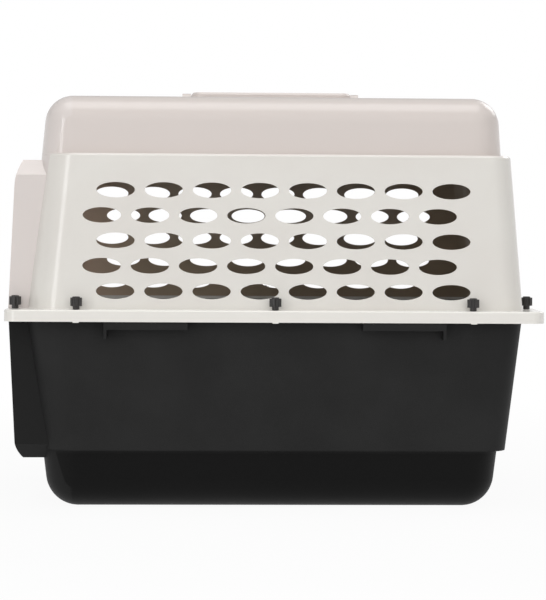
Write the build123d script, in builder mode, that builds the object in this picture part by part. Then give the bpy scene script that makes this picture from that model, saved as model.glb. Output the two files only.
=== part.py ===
from build123d import *
import os
from math import cos, radians, sin, tan

# A plastic pet kennel: two moulded shells bolted together at a flanged rim, a wire door with a
# squeeze latch in a framed opening at the front, and a folding carry handle on the roof.
# Millimetres. +Z is up and +X runs from the door to the rear. The origin is on the floor,
# under the middle of the rim.

# Rim, where the two shells meet
rim_length = 711.0
rim_width = 521.0
rim_corner_radius = 18.0
rim_edge = 1.6
wall = 3.0
parting_height = 265.0
flange_thickness = 4.0
skirt_height = 15.5
skirt_clearance = 0.6
side_flange = 24.5
front_flange = 24.5
rear_flange = 22.5
front_corner_radius = 55.0
rear_corner_radius = 32.0

# Upper shell: leaning vented panels that end in a ledge, and a narrower roof above them
upper_lean = 4.5
upper_front_lean = 5.3
ledge_height = 474.0
side_ledge = 15.0
rear_ledge = 10.0
ledge_edge = 3.0
roof_height = 552.0
roof_lean = 3.5
roof_radius = 38.0

# Lower shell: a leaning tub that steps in to its base
lower_lean = 6.0
lower_front_lean = 6.4
step_height = 79.0
step_inset = 8.0
tub_front_radius = 48.0
floor_radius = 44.0
floor_panel_rise = 4.0
floor_panel_border = 26.0
floor_panel_radius = 24.0

# Vents
vent_width = 50.5
vent_height = 20.0
vent_faces = 16
vent_pitch = 64.0
vent_row_pitch = 33.5
vent_row_shift = 9.0
vent_middle_offset = 2.5
vent_top_margin = 38.5
vent_bottom_margin = 13.0
vent_corner_margin = 6.0
rear_vent_margin = 60.0
rear_vent_rows = 3

# Door frame, half on each shell
frame_side_inset = 60.5
frame_front_inset = 1.5
frame_top_drop = 9.0
frame_bottom = 66.0
frame_corner = 20.0
frame_front_lean = 2.8
header_curve = 35.0
sill_curve = 24.0
frame_curve_setback = 10.0
frame_depth = 84.0
frame_side_wall = 5.0
pocket_corner_radius = 8.0
header_height = 14.2
sill_height = 13.2
seat_width = 19.0
opening_corner_radius = 30.0

# Lift grips under the flange of the lower shell
grip_bolt_gap = 36.0
grip_length = 110.0
grip_lip = 3.0
grip_drop = 19.0
grip_web = 4.0
grip_hook_drop = 31.0

# Small rounds that repeat have this many faces
round_faces = 12

# Rim fasteners
bolt_corner_distance = 94.5
front_bolt_inset = 46.5
rear_bolt_inset = 90.5
bolt_edge_distance = 12.0
bolt_radius = 3.0
bolt_hole_clearance = 0.4
bolt_head_width = 11.0
bolt_head_height = 4.0
nut_collar_radius = 4.4
nut_collar_height = 4.5
nut_head_radius = 7.6
nut_head_height = 12.5
nut_lobes = 6
nut_lobe_width = 5.4
nut_edge = 1.0
nut_cap = 3.5
thread_end_gap = 1.0
thread_clearance = 0.08
skirt_pad_width = 8.0
skirt_pad_drop = 1.2

# Door
door_recess = 29.0
hinge_side_gap = 15.0
free_side_gap = 9.0
frame_wire = 5.0
cross_wire = 4.0
upright_wire = 3.2
weld_depth = 0.3
door_corner_radius = 25.0
upright_wires = 13
cross_wires = 5
hinge_pin_reach = 8.0
pin_hole_depth = 11.0
pin_hole_clearance = 0.4
hinge_collar_radius = 4.5
hinge_collar_height = 2.0
sit_gap = 0.3

# Squeeze latch on the door
latch_travel = 11.0
latch_rod = 4.5
rod_wire_gap = 0.5
rod_hole_clearance = 0.6
rod_tip_gap = 2.5
rod_grip = 12.0
rod_tip_chamfer = 1.0
latch_width = 42.0
latch_height = 106.0
latch_depth = 15.0
latch_wall = 2.4
latch_corner_radius = 7.0
latch_edge = 2.0
latch_plate = 2.5
latch_rib = 3.0
slide_width = 26.0
slide_height = 18.0
slide_clearance = 0.5
tab_width = 20.0
tab_height = 6.0
tab_reach = 8.5
tab_edge = 1.5
spring_length = 10.0
spring_radius = 4.0
spring_wire = 0.8
spring_seat_gap = 0.1
screw_radius = 1.5
screw_head_radius = 3.0
screw_head_height = 1.6
screw_boss_wall = 1.7
screw_end_distance = 7.0
screw_wire_gap = 1.5
guide_width = 34.0
guide_height = 9.0
guide_distance = 24.0
guide_wall = 1.6

# Carry handle
handle_length = 224.0
handle_reach = 54.0
handle_arm = 12.0
handle_bar = 17.0
handle_thickness = 11.0
handle_lift = 7.2
handle_corner_radius = 16.0
handle_inner_radius = 7.0
handle_edge = 3.0
trunnion_radius = 3.5
trunnion_length = 9.0
trunnion_clearance = 0.3
lug_thickness = 12.0
lug_length = 26.0
lug_round = 6.2
lug_gap = 1.0
lug_foot = 2.0

half_length = rim_length / 2
half_width = rim_width / 2
flange_top = parting_height + wall
flange_bottom = parting_height - flange_thickness
skirt_bottom = flange_top - skirt_height
lower_rim_inset = wall + skirt_clearance

frame_front = -(half_length - frame_front_inset)
frame_back = frame_front + frame_depth
frame_half_width = half_width - frame_side_inset
frame_top = ledge_height - frame_top_drop
frame_middle = (frame_top + frame_bottom) / 2
pocket_half_width = frame_half_width - frame_side_wall
pocket_top = frame_top - header_height
pocket_bottom = frame_bottom + sill_height
pocket_middle = (pocket_top + pocket_bottom) / 2
pocket_height = pocket_top - pocket_bottom

door_plane = frame_front + door_recess
cross_plane = door_plane + (frame_wire + cross_wire) / 2 - weld_depth
upright_plane = cross_plane - (cross_wire + upright_wire) / 2 + weld_depth
rod_plane = door_plane - (frame_wire + latch_rod) / 2 - rod_wire_gap
seat_front = cross_plane + cross_wire / 2 + sit_gap
seat_back = seat_front + wall
hinge_side = pocket_half_width - hinge_side_gap
free_side = -(pocket_half_width - free_side_gap)
door_top = pocket_top - sit_gap - hinge_collar_height - frame_wire / 2
door_bottom = pocket_bottom + sit_gap + hinge_collar_height + frame_wire / 2
door_middle = (door_top + door_bottom) / 2
upright_pitch = (hinge_side - free_side) / (upright_wires + 1)
cross_pitch = (door_top - door_bottom) / (cross_wires + 1)

latch_side = free_side + 1.5 * upright_pitch
cover_back = upright_plane - upright_wire / 2
cover_front = cover_back - latch_depth
plate_front = cross_plane + cross_wire / 2
plate_back = plate_front + latch_plate
slide_front = cover_front + latch_wall + slide_clearance
slide_back = cover_back - slide_clearance
slide_start = latch_rib / 2 + spring_length
screw_side = upright_pitch / 2 - upright_wire / 2 - screw_wire_gap - screw_radius
screw_offset = latch_height / 2 - screw_end_distance
rod_hole_radius = latch_rod / 2 + rod_hole_clearance
spring_plane = (slide_front + slide_back) / 2

side_bolt = half_length - bolt_corner_distance
bolt_line = half_width - bolt_edge_distance
end_bolt_line = half_length - bolt_edge_distance
bolt_places = {
    "front_left": (-end_bolt_line, -(half_width - front_bolt_inset)),
    "front_right": (-end_bolt_line, half_width - front_bolt_inset),
    "left_front": (-side_bolt, -bolt_line),
    "left_middle": (0, -bolt_line),
    "left_rear": (side_bolt, -bolt_line),
    "right_front": (-side_bolt, bolt_line),
    "right_middle": (0, bolt_line),
    "right_rear": (side_bolt, bolt_line),
    "rear_left": (end_bolt_line, -(half_width - rear_bolt_inset)),
    "rear_right": (end_bolt_line, half_width - rear_bolt_inset),
}
nut_base = flange_top + sit_gap
nut_height = nut_collar_height + nut_head_height
handle_axis = roof_height + handle_lift
lug_middle = handle_length / 2 + lug_gap + lug_thickness / 2


def slope(degrees, rise):
    return rise * tan(radians(degrees))


# Where the outer faces of each shell are at a height: front, rear and half width
def upper_sides(height):
    rise = height - parting_height
    front = half_length - front_flange - slope(upper_front_lean, rise)
    rear = half_length - rear_flange - slope(upper_lean, rise)
    half = half_width - side_flange - slope(upper_lean, rise)
    return -front, rear, half


def roof_sides(height):
    ledge_sides = upper_sides(ledge_height)
    lean = slope(roof_lean, height - ledge_height)
    front = upper_sides(height)[0]
    return front, ledge_sides[1] - rear_ledge - lean, ledge_sides[2] - side_ledge - lean


def lower_sides(height):
    drop = parting_height - height
    front = half_length - front_flange - slope(lower_front_lean, drop)
    rear = half_length - rear_flange - slope(lower_lean, drop)
    half = half_width - side_flange - slope(lower_lean, drop)
    return -front, rear, half


def base_sides(height):
    front, rear, half = lower_sides(height)
    return front, rear - step_inset, half - step_inset


# A block whose four sides lean between two heights, drawn in by an inset
def leaning_block(sides_at, bottom, top, inset):
    low_front, low_rear, low_half = sides_at(bottom)
    high_front, high_rear, high_half = sides_at(top)
    with BuildPart() as block:
        with BuildSketch(Plane.XZ):
            with BuildLine():
                Polyline(
                    (low_front + inset, bottom),
                    (low_rear - inset, bottom),
                    (high_rear - inset, top),
                    (high_front + inset, top),
                    close=True,
                )
            make_face()
        extrude(amount=half_width, both=True)
        with BuildSketch(Plane.YZ):
            with BuildLine():
                Polyline(
                    (inset - low_half, bottom),
                    (low_half - inset, bottom),
                    (high_half - inset, top),
                    (inset - high_half, top),
                    close=True,
                )
            make_face()
        extrude(amount=half_length, both=True, mode=Mode.INTERSECT)
    return block.part


# The block's corner edges, front ones first
def corner_edges(block):
    return block.edges().filter_by(lambda edge: abs((edge % 0).Z) > 0.5).sort_by(Axis.X)


# A band of wall round the cabin, with one radius at the front corners and another at the rear
def wall_band(sides_at, bottom, top, front_radius, rear_radius, inset):
    with BuildPart() as band:
        add(leaning_block(sides_at, bottom, top, inset))
        fillet(corner_edges(band)[:2], front_radius - inset)
        fillet(corner_edges(band)[-2:], rear_radius - inset)
    return band.part


# A closed end: the roof or the floor, rounded alike along its edges and at its corners
def closed_end(sides_at, bottom, top, level_face, radius, inset):
    with BuildPart() as end:
        add(leaning_block(sides_at, bottom, top, inset))
        level_edges = end.faces().sort_by(Axis.Z)[level_face].edges()
        fillet(corner_edges(end) + level_edges, radius - inset)
    return end.part


# The upper shell's outer or inner form, by its inset
def upper_form(inset):
    ledge = ledge_height - inset
    start = parting_height - inset
    with BuildPart() as form:
        add(wall_band(upper_sides, start, ledge, front_corner_radius, rear_corner_radius, inset))
        chamfer(form.faces().sort_by(Axis.Z)[-1].edges(), ledge_edge)
    roof = closed_end(roof_sides, ledge_height - 2 * wall, roof_height - inset, -1, roof_radius, inset)
    return form.part + roof


# The lower shell's outer or inner form, by its inset
def lower_form(inset):
    step = step_height + inset
    base = closed_end(base_sides, inset, step, 0, floor_radius, inset)
    rim_level = parting_height + inset
    tub = wall_band(lower_sides, step, rim_level, tub_front_radius, rear_corner_radius, inset)
    return base + tub


# Behind the door frame the hollow starts at the back of the door's seat
with BuildPart() as seat_block:
    with BuildSketch(Plane.YZ.offset(-rim_length)):
        with Locations((0, frame_middle)):
            Rectangle(2 * frame_half_width, frame_top - frame_bottom)
    extrude(amount=rim_length + seat_back)

# The door frame stands out from both shells, as one block before its pocket is cut
with BuildPart() as door_frame:
    with BuildSketch(Plane.XZ):
        with BuildLine():
            header_start = frame_top - header_curve
            sill_start = frame_bottom + sill_curve
            header_x = frame_front + slope(frame_front_lean, header_start - parting_height)
            sill_x = frame_front + slope(frame_front_lean, parting_height - sill_start)
            upper_front = Line((frame_front, parting_height), (header_x, header_start))
            header = TangentArc(
                upper_front @ 1, (header_x + frame_curve_setback, frame_top), tangent=upper_front % 1
            )
            lower_front = Line((frame_front, parting_height), (sill_x, sill_start))
            sill = TangentArc(
                lower_front @ 1, (sill_x + frame_curve_setback, frame_bottom), tangent=lower_front % 1
            )
            Polyline(header @ 1, (frame_back, frame_top), (frame_back, frame_bottom), sill @ 1)
        make_face()
    extrude(amount=frame_half_width, both=True)
    with BuildSketch(Plane.YZ) as frame_outline:
        with Locations((0, frame_middle)):
            Rectangle(2 * frame_half_width, frame_top - frame_bottom)
        chamfer(frame_outline.vertices(), frame_corner)
    extrude(amount=rim_length, both=True, mode=Mode.INTERSECT)

# The pocket that the door sits in, the opening behind it, and the holes for pins and rods
with BuildPart() as door_space:
    with BuildSketch(Plane.YZ.offset(-rim_length)):
        with Locations((0, pocket_middle)):
            RectangleRounded(2 * pocket_half_width, pocket_height, pocket_corner_radius)
    extrude(amount=rim_length + seat_front)
    with BuildSketch(Plane.YZ.offset(seat_front)):
        with Locations((0, pocket_middle)):
            RectangleRounded(
                2 * (pocket_half_width - seat_width), pocket_height - 2 * seat_width, opening_corner_radius
            )
    extrude(amount=frame_back - seat_front)
    with BuildSketch(Plane.XY.offset(pocket_bottom - pin_hole_depth)):
        with Locations((door_plane, hinge_side)):
            Circle(frame_wire / 2 + pin_hole_clearance)
        with Locations((rod_plane, latch_side)):
            Circle(rod_hole_radius)
    extrude(amount=pocket_height + 2 * pin_hole_depth)

# Square bolt holes through both flanges keep the bolts from turning
bolt_hole = 2 * (bolt_radius + bolt_hole_clearance)
with BuildPart() as bolt_holes:
    with BuildSketch(Plane.XY.offset(flange_bottom)):
        with Locations(*bolt_places.values()):
            Rectangle(bolt_hole, bolt_hole)
    extrude(amount=flange_top - flange_bottom)

# The upper shell's rim: a flange with a skirt, and a small pad under the skirt at each side bolt
with BuildPart() as rim:
    with BuildSketch(Plane.XY.offset(skirt_bottom)):
        RectangleRounded(rim_length, rim_width, rim_corner_radius)
    extrude(amount=skirt_height)
    chamfer(rim.faces().sort_by(Axis.Z)[-1].edges(), rim_edge)
    with BuildSketch(Plane.XY.offset(skirt_bottom)):
        RectangleRounded(rim_length - 2 * wall, rim_width - 2 * wall, rim_corner_radius - wall)
    extrude(amount=parting_height - skirt_bottom, mode=Mode.SUBTRACT)
    with BuildSketch(Plane.XY.offset(skirt_bottom - skirt_pad_drop)):
        with GridLocations(side_bolt, rim_width - wall, 3, 2):
            Rectangle(skirt_pad_width, wall)
    extrude(amount=skirt_pad_drop)

# Vents are punched straight through both sides, in staggered rows
vent_flat_front = upper_sides(ledge_height)[0] + front_corner_radius + vent_corner_margin
vent_flat_rear = upper_sides(ledge_height)[1] - rear_corner_radius - vent_corner_margin
vent_columns = int((vent_flat_rear - vent_flat_front - 2 * vent_row_shift) // vent_pitch)
vent_band = ledge_height - vent_top_margin - flange_top - vent_bottom_margin
vent_rows = int((vent_band - vent_height) // vent_row_pitch) + 1
rear_vent_columns = int(2 * (upper_sides(ledge_height)[2] - rear_vent_margin) // vent_pitch)
top_vent_height = ledge_height - vent_top_margin - vent_height / 2

# A vent is an oval drawn with a few faces, for there are many
vent_steps = [radians(360 * step / vent_faces) for step in range(vent_faces)]
vent_points = [(vent_width / 2 * cos(turn), vent_height / 2 * sin(turn)) for turn in vent_steps]
with BuildSketch() as vent_outline:
    with BuildLine():
        Polyline(*vent_points, close=True)
    make_face()
vent = vent_outline.sketch

with BuildPart() as side_vents:
    with BuildSketch(Plane.XZ):
        for row in range(vent_rows):
            shift = vent_row_shift if row % 2 == 0 else -vent_row_shift
            with Locations((vent_middle_offset + shift, top_vent_height - row * vent_row_pitch)):
                with GridLocations(vent_pitch, 1, vent_columns, 1):
                    add(vent)
    extrude(amount=half_width, both=True)

with BuildPart() as rear_vents:
    with BuildSketch(Plane.YZ):
        for row in range(rear_vent_rows):
            with Locations((0, top_vent_height - row * vent_row_pitch)):
                with GridLocations(vent_pitch, 1, rear_vent_columns - row % 2, 1):
                    add(vent)
    extrude(amount=half_length)

with BuildPart() as top_shell:
    add(door_frame.part)
    split(bisect_by=Plane.XY.offset(parting_height), keep=Keep.TOP)
    add(upper_form(0))
    add(rim.part)
    add(upper_form(wall) - seat_block.part, mode=Mode.SUBTRACT)
    add(door_space.part, mode=Mode.SUBTRACT)
    add(bolt_holes.part, mode=Mode.SUBTRACT)
    add(side_vents.part, mode=Mode.SUBTRACT)
    add(rear_vents.part, mode=Mode.SUBTRACT)
    # Lugs that hold the handle's trunnions
    for side in (-1, 1):
        with BuildSketch(Plane.YZ.offset(side * lug_middle - lug_thickness / 2)):
            with Locations((0, handle_axis)):
                Circle(lug_round)
            with Locations((0, roof_height)):
                Rectangle(lug_length, lug_foot)
            make_hull()
        extrude(amount=lug_thickness)
    with BuildSketch(Plane.YZ.offset(-handle_length / 2 - trunnion_length - trunnion_clearance)):
        with Locations((0, handle_axis)):
            Circle(trunnion_radius + trunnion_clearance)
    extrude(amount=handle_length + 2 * (trunnion_length + trunnion_clearance), mode=Mode.SUBTRACT)
top_shell.part.label = "top_shell"

# The lower shell: tub, raised floor panel, flange, lift grips and the lower half of the door frame
floor_front, floor_rear, floor_half = base_sides(0)
panel_inset = floor_radius + floor_panel_border
panel_length = floor_rear - floor_front - 2 * panel_inset
panel_width = 2 * (floor_half - panel_inset)
panel_place = ((floor_front + floor_rear) / 2, 0)
grip_outer = side_bolt - grip_bolt_gap
grip_line = half_width - lower_rim_inset
grip_wall_line = lower_sides(flange_bottom - grip_hook_drop)[2] - wall / 2

with BuildSketch() as lower_rim_outline:
    RectangleRounded(
        rim_length - 2 * lower_rim_inset,
        rim_width - 2 * lower_rim_inset,
        rim_corner_radius - lower_rim_inset,
    )
lower_rim = lower_rim_outline.sketch

with BuildPart() as bottom_shell:
    add(door_frame.part)
    split(bisect_by=Plane.XY.offset(parting_height), keep=Keep.BOTTOM)
    add(lower_form(0))
    # The door frame steps back to fit inside the upper shell's skirt
    with BuildSketch(Plane.XY.offset(skirt_bottom - skirt_clearance)):
        Rectangle(rim_length + wall, rim_width + wall)
        add(lower_rim, mode=Mode.SUBTRACT)
    extrude(amount=parting_height - skirt_bottom + skirt_clearance, mode=Mode.SUBTRACT)
    with BuildSketch(Plane.XY.offset(flange_bottom)):
        add(lower_rim)
    extrude(amount=flange_thickness)
    # Each lift grip is a lip with a web at both ends, the outer one reaching lower
    for end in (-1, 1):
        for side in (-1, 1):
            lip_middle = (end * (grip_outer - grip_length / 2), side * (grip_line - grip_lip / 2))
            web_width = grip_line - grip_wall_line
            web_line = side * (grip_line - web_width / 2)
            inner_web = (end * (grip_outer - grip_length + grip_web / 2), web_line)
            outer_web = (end * (grip_outer - grip_web / 2), web_line)
            with BuildSketch(Plane.XY.offset(flange_bottom)):
                with Locations(lip_middle):
                    Rectangle(grip_length, grip_lip)
                with Locations(inner_web):
                    Rectangle(grip_web, web_width)
            extrude(amount=-grip_drop)
            with BuildSketch(Plane.XY.offset(flange_bottom)):
                with Locations(outer_web):
                    Rectangle(grip_web, web_width)
            extrude(amount=-grip_hook_drop)
    add(lower_form(wall) - seat_block.part, mode=Mode.SUBTRACT)
    with BuildSketch(Plane.XY.offset(wall)):
        with Locations(panel_place):
            RectangleRounded(panel_length, panel_width, floor_panel_radius)
    extrude(amount=floor_panel_rise)
    with BuildSketch(Plane.XY):
        with Locations(panel_place):
            RectangleRounded(panel_length - 2 * wall, panel_width - 2 * wall, floor_panel_radius - wall)
    extrude(amount=floor_panel_rise, mode=Mode.SUBTRACT)
    add(door_space.part, mode=Mode.SUBTRACT)
    add(bolt_holes.part, mode=Mode.SUBTRACT)
bottom_shell.part.label = "bottom_shell"

# Ten bolts stand up through both flanges
with BuildPart() as flange_bolts:
    with BuildSketch(Plane.XY.offset(flange_bottom)):
        with Locations(*bolt_places.values()):
            Rectangle(bolt_head_width, bolt_head_width)
    extrude(amount=-bolt_head_height)
    with BuildSketch(Plane.XY.offset(flange_bottom)):
        with Locations(*bolt_places.values()):
            Rectangle(2 * bolt_radius, 2 * bolt_radius)
    extrude(amount=flange_top - flange_bottom)
    with BuildSketch(Plane.XY.offset(flange_bottom)):
        with Locations(*bolt_places.values()):
            RegularPolygon(bolt_radius, round_faces)
    extrude(amount=nut_base + nut_height - nut_cap - thread_end_gap - flange_bottom)
flange_bolts.part.label = "flange_bolts"


# A lobed thumb nut on its collar
def thumb_nut(name, place):
    with BuildPart() as nut:
        with BuildSketch(Plane.XY.offset(nut_base)):
            with Locations(place):
                RegularPolygon(nut_collar_radius, round_faces)
        extrude(amount=nut_collar_height)
        with BuildSketch(Plane.XY.offset(nut_base + nut_collar_height)):
            with Locations(place):
                with PolarLocations(0, nut_lobes // 2):
                    Rectangle(2 * nut_head_radius, nut_lobe_width)
        extrude(amount=nut_head_height)
        chamfer(nut.faces().sort_by(Axis.Z)[-1].edges(), nut_edge)
        with BuildSketch(Plane.XY.offset(nut_base)):
            with Locations(place):
                RegularPolygon(bolt_radius + thread_clearance, round_faces, major_radius=False)
        extrude(amount=nut_height - nut_cap, mode=Mode.SUBTRACT)
    nut.part.label = name + "_thumb_nut"
    return nut.part


# The door's hinge rod has a pin at each end, above and below a collar
with BuildPart() as door_hinge_rod:
    with BuildSketch(Plane.XY.offset(pocket_bottom - hinge_pin_reach)):
        with Locations((door_plane, hinge_side)):
            Circle(frame_wire / 2)
    extrude(amount=pocket_height + 2 * hinge_pin_reach)
    with BuildSketch(Plane.XY.offset(pocket_bottom + sit_gap), Plane.XY.offset(door_top + frame_wire / 2)):
        with Locations((door_plane, hinge_side)):
            Circle(hinge_collar_radius)
    extrude(amount=hinge_collar_height)
door_hinge_rod.part.label = "door_hinge_rod"

# One bent wire makes the door's top, free side and bottom
with BuildPart() as door_frame_wire:
    with BuildLine(Plane.YZ.offset(door_plane)) as bent:
        wire_start = hinge_side - frame_wire / 2 + weld_depth
        FilletPolyline(
            (wire_start, door_top),
            (free_side, door_top),
            (free_side, door_bottom),
            (wire_start, door_bottom),
            radius=door_corner_radius,
        )
    with BuildSketch(Plane(bent.line @ 0, z_dir=bent.line % 0)):
        RegularPolygon(frame_wire / 2, round_faces)
    sweep()
door_frame_wire.part.label = "door_frame_wire"

with BuildPart() as door_upright_wires:
    with BuildSketch(Plane.XY.offset(door_bottom + frame_wire / 2 - weld_depth)):
        with Locations((upright_plane, (free_side + hinge_side) / 2)):
            with GridLocations(1, upright_pitch, 1, upright_wires):
                RegularPolygon(upright_wire / 2, round_faces)
    extrude(amount=door_top - door_bottom - frame_wire + 2 * weld_depth)
door_upright_wires.part.label = "door_upright_wires"

with BuildPart() as door_cross_wires:
    with BuildSketch(Plane.XZ.offset(-hinge_side)):
        with Locations((cross_plane, door_middle)):
            with GridLocations(1, cross_pitch, 1, cross_wires):
                RegularPolygon(cross_wire / 2, round_faces)
    extrude(amount=hinge_side - free_side + frame_wire / 2)
door_cross_wires.part.label = "door_cross_wires"

# The latch's cover is open at the back, with screw bosses, a rib between its springs, and slots
slide_middle = slide_start + slide_height / 2
tab_slot = tab_height + latch_travel + 2 * slide_clearance
with BuildPart() as latch_cover:
    with BuildSketch(Plane.YZ.offset(cover_back)):
        with Locations((latch_side, door_middle)):
            RectangleRounded(latch_width, latch_height, latch_corner_radius)
    extrude(amount=-latch_depth)
    chamfer(latch_cover.faces().sort_by(Axis.X)[0].edges(), latch_edge)
    with BuildSketch(Plane.YZ.offset(cover_back)):
        with Locations((latch_side, door_middle)):
            RectangleRounded(
                latch_width - 2 * latch_wall, latch_height - 2 * latch_wall, latch_corner_radius - latch_wall
            )
    extrude(amount=latch_wall - latch_depth, mode=Mode.SUBTRACT)
    with BuildSketch(Plane.YZ.offset(cover_back)):
        with Locations((latch_side, door_middle)):
            Rectangle(latch_width - latch_wall, latch_rib)
            with GridLocations(2 * screw_side, 2 * screw_offset, 2, 2):
                RegularPolygon(screw_radius + screw_boss_wall, round_faces)
    extrude(amount=latch_wall - latch_depth)
    with BuildSketch(Plane.YZ.offset(cover_back)):
        with Locations((latch_side, door_middle)):
            with GridLocations(2 * screw_side, 2 * screw_offset, 2, 2):
                RegularPolygon(screw_radius, round_faces)
    extrude(amount=2 * latch_wall - latch_depth, mode=Mode.SUBTRACT)
    with BuildSketch(Plane.YZ.offset(cover_front)):
        with Locations((latch_side, door_middle)):
            with GridLocations(1, 2 * slide_middle + latch_travel, 1, 2):
                Rectangle(tab_width + 2 * slide_clearance, tab_slot)
    extrude(amount=latch_wall, mode=Mode.SUBTRACT)
    for wall_start in (door_middle - latch_height / 2, door_middle + latch_height / 2 - latch_wall):
        with BuildSketch(Plane.XY.offset(wall_start)):
            with Locations((rod_plane, latch_side)):
                RegularPolygon(rod_hole_radius, round_faces)
        extrude(amount=latch_wall, mode=Mode.SUBTRACT)
latch_cover.part.label = "latch_cover"

with BuildPart() as latch_back_plate:
    with BuildSketch(Plane.YZ.offset(plate_front)):
        with Locations((latch_side, door_middle)):
            RectangleRounded(latch_width, latch_height, latch_corner_radius)
            with GridLocations(2 * screw_side, 2 * screw_offset, 2, 2):
                RegularPolygon(screw_radius, round_faces, mode=Mode.SUBTRACT)
    extrude(amount=latch_plate)
latch_back_plate.part.label = "latch_back_plate"

with BuildPart() as latch_screws:
    with BuildSketch(Plane.YZ.offset(plate_back)):
        with Locations((latch_side, door_middle)):
            with GridLocations(2 * screw_side, 2 * screw_offset, 2, 2):
                RegularPolygon(screw_head_radius, round_faces)
    extrude(amount=screw_head_height)
    with BuildSketch(Plane.YZ.offset(plate_back)):
        with Locations((latch_side, door_middle)):
            with GridLocations(2 * screw_side, 2 * screw_offset, 2, 2):
                RegularPolygon(screw_radius, round_faces)
    extrude(amount=cover_back - latch_depth + 2 * latch_wall - plate_back)
latch_screws.part.label = "latch_screws"

# Each slide has a finger tab through the cover and grips the end of its rod
with BuildPart() as upper_latch_slide:
    with BuildSketch(Plane.YZ.offset(slide_front)):
        with Locations((latch_side, door_middle + slide_middle)):
            Rectangle(slide_width, slide_height)
    extrude(amount=slide_back - slide_front)
    with BuildSketch(Plane.YZ.offset(slide_front)):
        with Locations((latch_side, door_middle + slide_middle)):
            Rectangle(tab_width, tab_height)
    extrude(amount=cover_front - tab_reach - slide_front)
    chamfer(upper_latch_slide.faces().sort_by(Axis.X)[0].edges(), tab_edge)
    with BuildSketch(Plane.XY.offset(door_middle + slide_start + slide_height)):
        with Locations((rod_plane, latch_side)):
            RegularPolygon(latch_rod / 2, round_faces)
    extrude(amount=-rod_grip, mode=Mode.SUBTRACT)
upper_latch_slide.part.label = "upper_latch_slide"

with BuildPart() as upper_latch_rod:
    rod_start = door_middle + slide_start + slide_height - rod_grip
    with BuildSketch(Plane.XY.offset(rod_start)):
        with Locations((rod_plane, latch_side)):
            RegularPolygon(latch_rod / 2, round_faces)
    extrude(amount=pocket_top - rod_tip_gap - rod_start)
    chamfer(upper_latch_rod.faces().sort_by(Axis.Z)[-1].edges(), rod_tip_chamfer)
upper_latch_rod.part.label = "upper_latch_rod"

with BuildPart() as upper_latch_spring:
    with BuildSketch(Plane.XY.offset(door_middle + latch_rib / 2 + spring_seat_gap)):
        with Locations((spring_plane, latch_side)):
            RegularPolygon(spring_radius, round_faces)
            RegularPolygon(spring_radius - spring_wire, round_faces, mode=Mode.SUBTRACT)
    extrude(amount=spring_length - 2 * spring_seat_gap)
upper_latch_spring.part.label = "upper_latch_spring"

# Snap-on bridges across two uprights keep the rods in line
guide_front = rod_plane - rod_hole_radius - guide_wall
guide_back = upright_plane + upright_wire / 2
guide_bottom = door_bottom + guide_distance - guide_height / 2
guide_top = door_top - guide_distance - guide_height / 2
with BuildPart() as rod_guides:
    with BuildSketch(Plane.XY.offset(guide_bottom), Plane.XY.offset(guide_top)):
        with Locations(((guide_front + guide_back) / 2, latch_side)):
            Rectangle(guide_back - guide_front, guide_width)
        with Locations((rod_plane, latch_side)):
            RegularPolygon(rod_hole_radius, round_faces, mode=Mode.SUBTRACT)
        with Locations((upright_plane, latch_side)):
            with GridLocations(1, upright_pitch, 1, 2):
                RegularPolygon(upright_wire / 2, round_faces, mode=Mode.SUBTRACT)
                Rectangle(upright_wire, upright_wire, align=(Align.MIN, Align.CENTER), mode=Mode.SUBTRACT)
    extrude(amount=guide_height)
rod_guides.part.label = "rod_guides"

# The lower half of the latch mirrors the upper half
middle_plane = Plane.XY.offset(door_middle)
lower_latch_slide = mirror(upper_latch_slide.part, about=middle_plane)
lower_latch_slide.label = "lower_latch_slide"
lower_latch_rod = mirror(upper_latch_rod.part, about=middle_plane)
lower_latch_rod.label = "lower_latch_rod"
lower_latch_spring = mirror(upper_latch_spring.part, about=middle_plane)
lower_latch_spring.label = "lower_latch_spring"

# The carry handle is a flat bail with rounded knuckles on its trunnions
with BuildPart() as carry_handle:
    with BuildSketch(Plane.XY.offset(handle_axis - handle_thickness / 2)) as bail:
        with Locations((0, -handle_reach / 2)):
            Rectangle(handle_length, handle_reach)
        fillet(bail.vertices().group_by(Axis.Y)[0], handle_corner_radius)
        with BuildSketch(mode=Mode.SUBTRACT) as grip_space:
            with Locations((0, (handle_bar - handle_reach) / 2)):
                Rectangle(handle_length - 2 * handle_arm, handle_reach - handle_bar)
            fillet(grip_space.vertices().group_by(Axis.Y)[0], handle_inner_radius)
    extrude(amount=handle_thickness)
    chamfer(carry_handle.edges().filter_by(Axis.X).group_by(Axis.Y)[0], handle_edge)
    for side in (-1, 1):
        knuckle_start = side * handle_length / 2
        with BuildSketch(Plane.YZ.offset(knuckle_start)):
            with Locations((0, handle_axis)):
                Circle(handle_thickness / 2)
        extrude(amount=-side * handle_arm)
        with BuildSketch(Plane.YZ.offset(knuckle_start)):
            with Locations((0, handle_axis)):
                Circle(trunnion_radius)
        extrude(amount=side * trunnion_length)
carry_handle.part.label = "carry_handle"

os.makedirs("parts", exist_ok=True)
pieces = [
    top_shell.part,
    bottom_shell.part,
    flange_bolts.part,
    door_hinge_rod.part,
    door_frame_wire.part,
    door_upright_wires.part,
    door_cross_wires.part,
    latch_cover.part,
    latch_back_plate.part,
    latch_screws.part,
    upper_latch_slide.part,
    upper_latch_rod.part,
    upper_latch_spring.part,
    lower_latch_slide,
    lower_latch_rod,
    lower_latch_spring,
    rod_guides.part,
    carry_handle.part,
]
for name, place in bolt_places.items():
    pieces.append(thumb_nut(name, place))
for piece in pieces:
    export_step(piece, "parts/" + piece.label + ".step")
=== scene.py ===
from math import cos, radians, sin

import bpy
from mathutils import Euler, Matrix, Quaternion, Vector


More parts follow.
